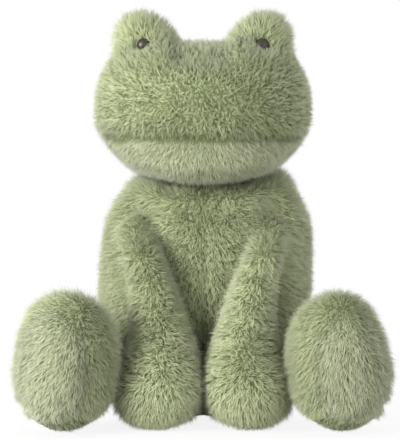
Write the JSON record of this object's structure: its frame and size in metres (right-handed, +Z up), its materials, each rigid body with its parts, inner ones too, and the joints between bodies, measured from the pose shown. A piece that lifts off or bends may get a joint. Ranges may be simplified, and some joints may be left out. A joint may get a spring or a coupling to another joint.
{
  "type": "plush frog",
  "caption": "Sitting plush frog of long green fur fabric over stuffing, with a wide head on a soft neck, arms hanging between splayed legs and big round feet.",
  "frame": {"origin": "middle of the flat seat that the toy sits on, on the surface that carries it", "axes": "+Z up, -Y towards the toy's front, +X towards the toy's own left side"},
  "size_m": [0.2912, 0.2362, 0.3315],
  "materials": {
    "sage_fur": "long soft pile",
    "pale_fur": "long soft pile, nap lying down",
    "stuffing": "loose white fibre",
    "pouch_cloth": "plain woven cotton",
    "eye_brown": "polished",
    "washer_white": "as moulded"
  },
  "bodies": {
    "torso": {"torso_front_left": "sage_fur", "torso_front_right": "sage_fur", "torso_back_left": "sage_fur", "torso_back_right": "sage_fur", "torso_seat": "sage_fur", "torso_stuffing": "stuffing", "seat_bean_bag": "pouch_cloth"},
    "neck": {"neck_plug": "stuffing"},
    "head": {"head_face_panel": "sage_fur", "jaw_panel": "pale_fur", "head_back_panel": "sage_fur", "head_stuffing": "stuffing", "left_eye_mound": "sage_fur", "left_mound_stuffing": "stuffing", "left_safety_eye": "eye_brown", "left_eye_washer": "washer_white", "right_eye_mound": "sage_fur", "right_mound_stuffing": "stuffing", "right_safety_eye": "eye_brown", "right_eye_washer": "washer_white"},
    "left_arm": {"left_arm_front_panel": "sage_fur", "left_arm_back_panel": "sage_fur", "left_arm_stuffing": "stuffing"},
    "left_leg": {"left_leg_top_panel": "sage_fur", "left_leg_bottom_panel": "sage_fur", "left_leg_stuffing": "stuffing"},
    "left_foot": {"left_foot_upper": "sage_fur", "left_foot_sole": "pale_fur", "left_foot_stuffing": "stuffing"},
    "right_arm": {"right_arm_front_panel": "sage_fur", "right_arm_back_panel": "sage_fur", "right_arm_stuffing": "stuffing"},
    "right_leg": {"right_leg_top_panel": "sage_fur", "right_leg_bottom_panel": "sage_fur", "right_leg_stuffing": "stuffing"},
    "right_foot": {"right_foot_upper": "sage_fur", "right_foot_sole": "pale_fur", "right_foot_stuffing": "stuffing"}
  },
  "joints": [
    {"name": "neck_turn", "type": "hinge", "parent": "torso", "child": "neck", "pos_m": [0, 0, 0.2], "axis": [0, 0, 1], "range_deg": [-25, 25]},
    {"name": "neck_nod", "type": "hinge", "parent": "neck", "child": "head", "pos_m": [0, 0, 0.2], "axis": [1, 0, 0], "range_deg": [-10, 5]},
    {"name": "left_shoulder_swing", "type": "hinge", "parent": "torso", "child": "left_arm", "pos_m": [0.056, -0.05263, 0.168], "axis": [-1, 0, 0], "range_deg": [0, 60]},
    {"name": "left_hip_swing", "type": "hinge", "parent": "torso", "child": "left_leg", "pos_m": [0.069, -0.03804, 0.038], "axis": [-0.8829, -0.4695, 0], "range_deg": [-30, 14]},
    {"name": "left_ankle_tilt", "type": "hinge", "parent": "left_leg", "child": "left_foot", "pos_m": [0.09529, -0.08748, 0.047], "axis": [-0.9511, -0.309, 0], "range_deg": [-12, 12]},
    {"name": "right_shoulder_swing", "type": "hinge", "parent": "torso", "child": "right_arm", "pos_m": [-0.056, -0.05263, 0.168], "axis": [-1, 0, 0], "range_deg": [0, 60]},
    {"name": "right_hip_swing", "type": "hinge", "parent": "torso", "child": "right_leg", "pos_m": [-0.069, -0.03804, 0.038], "axis": [-0.8829, 0.4695, 0], "range_deg": [-30, 14]},
    {"name": "right_ankle_tilt", "type": "hinge", "parent": "right_leg", "child": "right_foot", "pos_m": [-0.09529, -0.08748, 0.047], "axis": [-0.9511, 0.309, 0], "range_deg": [-12, 12]}
  ]
}
